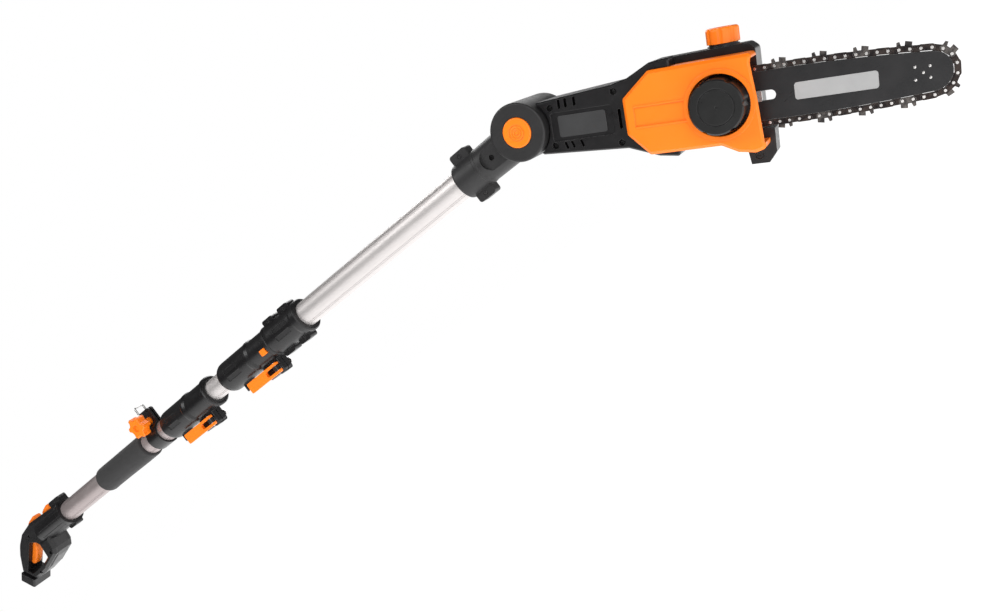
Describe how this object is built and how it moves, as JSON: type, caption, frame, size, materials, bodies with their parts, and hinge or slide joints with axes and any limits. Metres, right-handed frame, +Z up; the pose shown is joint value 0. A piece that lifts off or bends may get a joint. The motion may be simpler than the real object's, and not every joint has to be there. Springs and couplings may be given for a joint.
{
  "type": "pole_saw",
  "caption": "Telescoping cordless pole saw: D-handle grip with battery foot, two sliding tube stages with lever clamps, and a tilting chainsaw head.",
  "frame": {"origin": "on the pole axis, on the bare stretch of the lower tube where it is held", "axes": "+X along the pole from the handle to the saw head, +Z up, +Y away from the sprocket cover"},
  "size_m": [1.6903, 0.101, 0.2864],
  "materials": {
    "black_plastic": "satin",
    "orange_plastic": "gloss",
    "tube_aluminium": "satin anodised",
    "foam": "matte",
    "steel": "zinc plated",
    "blackened_steel": "satin black",
    "chain_steel": "oiled dark",
    "label": "satin",
    "brass": "plain",
    "tank_plastic": "satin"
  },
  "bodies": {
    "grip": {"lower_tube": "tube_aluminium", "foam_grip": "foam", "strap_clamp": "black_plastic", "strap_bolt": "steel", "lower_collar": "black_plastic", "lower_lever_pin": "steel", "lower_eye_bolt": "blackened_steel", "lower_clamp_nut": "steel", "handle_shell_front": "black_plastic", "handle_shell_rear": "black_plastic", "handle_screws": "steel", "trigger_pin": "steel", "switch_module": "black_plastic", "battery_foot": "black_plastic", "battery_contacts": "brass"},
    "star_knob": {"star_knob": "orange_plastic"},
    "strap_ring": {"strap_ring": "steel"},
    "lower_lever": {"lower_lever": "orange_plastic"},
    "trigger": {"trigger": "orange_plastic"},
    "lock_off_slider": {"lock_off_slider": "orange_plastic"},
    "middle": {"middle_tube": "tube_aluminium", "slide_plugs": "black_plastic"},
    "upper": {"upper_tube": "tube_aluminium", "coupler_sleeve": "black_plastic", "coupler_shell_front": "black_plastic", "coupler_shell_rear": "black_plastic", "coupler_screws": "steel", "upper_lever_pin": "steel", "upper_eye_bolt": "blackened_steel", "upper_clamp_nut": "steel", "socket_shell_front": "black_plastic", "socket_shell_rear": "black_plastic", "socket_screws": "steel", "pivot_axle": "steel"},
    "upper_lever": {"upper_lever": "orange_plastic"},
    "release_button": {"release_button": "orange_plastic"},
    "pivot_button": {"pivot_button": "orange_plastic"},
    "head": {"motor_housing_front": "black_plastic", "motor_housing_rear": "black_plastic", "housing_screws": "steel", "label_plate": "label", "motor": "steel", "bar_stud": "steel", "guide_bar": "blackened_steel", "chain_drive_links": "chain_steel", "chain_side_links": "chain_steel", "chain_cutters": "chain_steel", "chain_rivets": "steel", "sprocket_cover": "orange_plastic", "tension_tab": "steel", "oil_tank": "tank_plastic", "bumper": "blackened_steel", "bumper_screw": "steel"},
    "drive": {"drive_sprocket": "steel", "crown_gear": "steel"},
    "pinion": {"pinion": "steel"},
    "tension_knob": {"tension_knob": "black_plastic"},
    "oil_cap": {"oil_cap": "orange_plastic"}
  },
  "joints": [
    {"name": "lower_slide", "type": "slide", "parent": "grip", "child": "middle", "axis": [1, 0, 0], "range_m": [0, 0.32]},
    {"name": "upper_slide", "type": "slide", "parent": "middle", "child": "upper", "axis": [1, 0, 0], "range_m": [0, 0.3]},
    {"name": "head_tilt", "type": "hinge", "parent": "upper", "child": "head", "pos_m": [1.015, 0, 0], "axis": [0, 1, 0], "range_deg": [-28.85, 31]},
    {"name": "pivot_button_press", "type": "slide", "parent": "upper", "child": "pivot_button", "axis": [0, 1, 0], "range_m": [0, 0.005], "stiffness_N_per_m": 800},
    {"name": "lower_lever_swing", "type": "hinge", "parent": "grip", "child": "lower_lever", "pos_m": [0.3385, -0.014, -0.033], "axis": [0, 0, 1], "range_deg": [0, 100]},
    {"name": "upper_lever_swing", "type": "hinge", "parent": "upper", "child": "upper_lever", "pos_m": [0.5035, -0.014, -0.033], "axis": [0, 0, 1], "range_deg": [0, 100]},
    {"name": "star_knob_turn", "type": "hinge", "parent": "grip", "child": "star_knob", "pos_m": [0.222, -0.024, 0.027], "axis": [0, 1, 0], "continuous": true},
    {"name": "strap_ring_swing", "type": "hinge", "parent": "grip", "child": "strap_ring", "pos_m": [0.215, 0, 0.0405], "axis": [0, 1, 0], "range_deg": [-90, 40]},
    {"name": "release_button_press", "type": "slide", "parent": "upper", "child": "release_button", "axis": [0, 1, 0], "range_m": [0, 0.002], "stiffness_N_per_m": 800},
    {"name": "trigger_pull", "type": "hinge", "parent": "grip", "child": "trigger", "pos_m": [-0.20969, 0, -0.0023], "axis": [0, 1, 0], "range_deg": [0, 7.5], "stiffness_Nm_per_rad": 2.5, "springref_deg": -5.73},
    {"name": "lock_off_push", "type": "slide", "parent": "grip", "child": "lock_off_slider", "axis": [1, 0, 0], "range_m": [0, 0.006], "stiffness_N_per_m": 500, "springref_m": -0.002},
    {"name": "tension_knob_turn", "type": "hinge", "parent": "head", "child": "tension_knob", "pos_m": [1.20568, -0.03, -0.10733], "axis": [0, 1, 0], "continuous": true},
    {"name": "oil_cap_turn", "type": "hinge", "parent": "head", "child": "oil_cap", "pos_m": [1.23665, 0.015, -0.0536], "axis": [0.4825, 0, 0.8759], "continuous": true},
    {"name": "drive_spin", "type": "hinge", "parent": "head", "child": "drive", "pos_m": [1.16381, 0.006, -0.08426], "axis": [0, 1, 0], "continuous": true},
    {"name": "pinion_spin", "type": "hinge", "parent": "head", "child": "pinion", "pos_m": [1.11914, 0.006, -0.05965], "axis": [0.8759, 0, -0.4825], "continuous": true}
  ],
  "couplings": [
    {"joint": "pinion_spin", "follows": "drive_spin", "ratio": 4}
  ]
}
